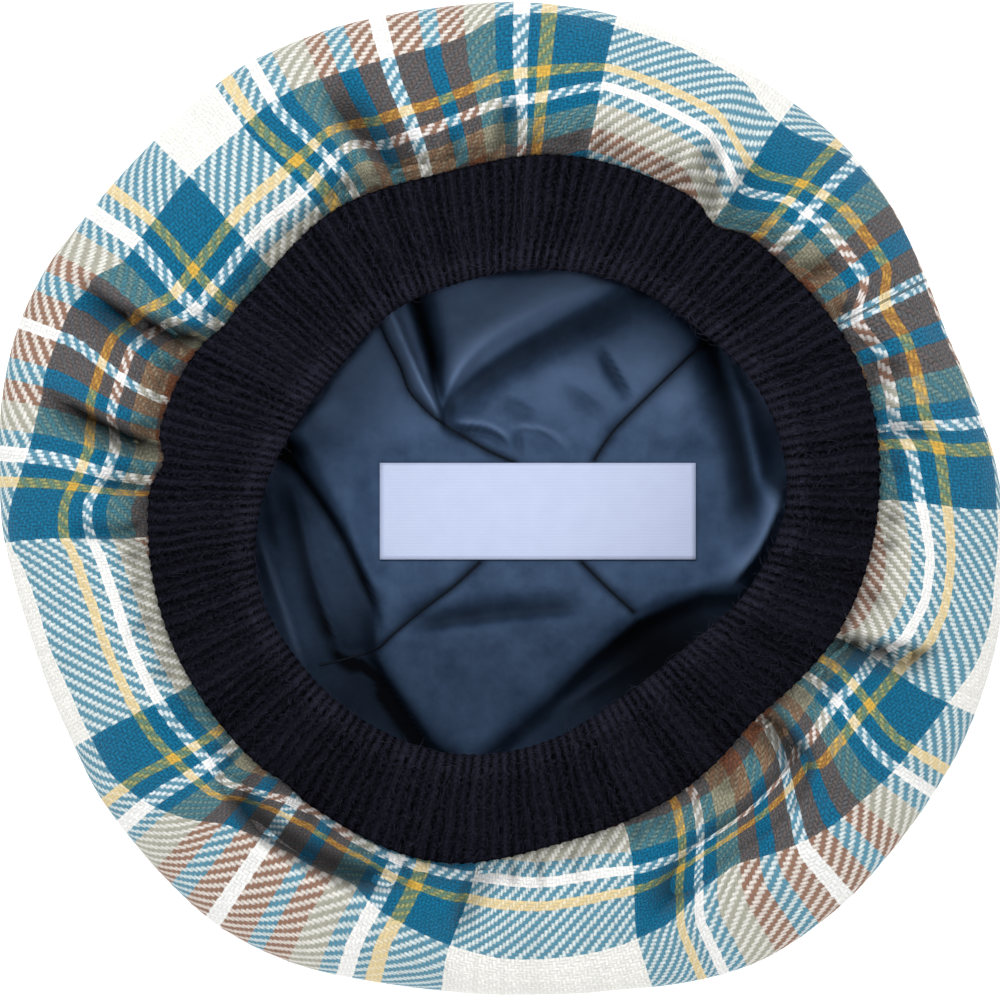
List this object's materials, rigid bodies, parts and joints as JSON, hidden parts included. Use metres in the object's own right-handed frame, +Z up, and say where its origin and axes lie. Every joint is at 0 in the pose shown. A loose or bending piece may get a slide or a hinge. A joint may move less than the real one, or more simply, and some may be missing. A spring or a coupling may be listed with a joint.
{
  "type": "tam o' shanter",
  "caption": "Soft round tartan wool hat lying on its crown, its side rolled over the rim and gathered onto a dark rib-knit band, with a satin lining and a bare woven label.",
  "frame": {"origin": "on the floor under the middle of the hat's outline, with the crown's flat on z = 0", "axes": "+Z up out of the opening, +X to the right and +Y away from the viewer's feet, which is up in the picture; seen from straight above the picture's picture plane is XY"},
  "size_m": [0.2736, 0.2698, 0.0595],
  "materials": {
    "tartan_wool": "brushed twill wool in a teal, cream, brown and yellow tartan",
    "rib_knit": "fuzzy wool rib knit, near-black navy",
    "satin_lining": "slate-navy satin",
    "label_weave": "pale woven satin"
  },
  "bodies": {
    "root": {"crown_top": "tartan_wool", "crown_side": "tartan_wool", "band": "rib_knit", "lining": "satin_lining", "label": "label_weave"}
  },
  "joints": []
}
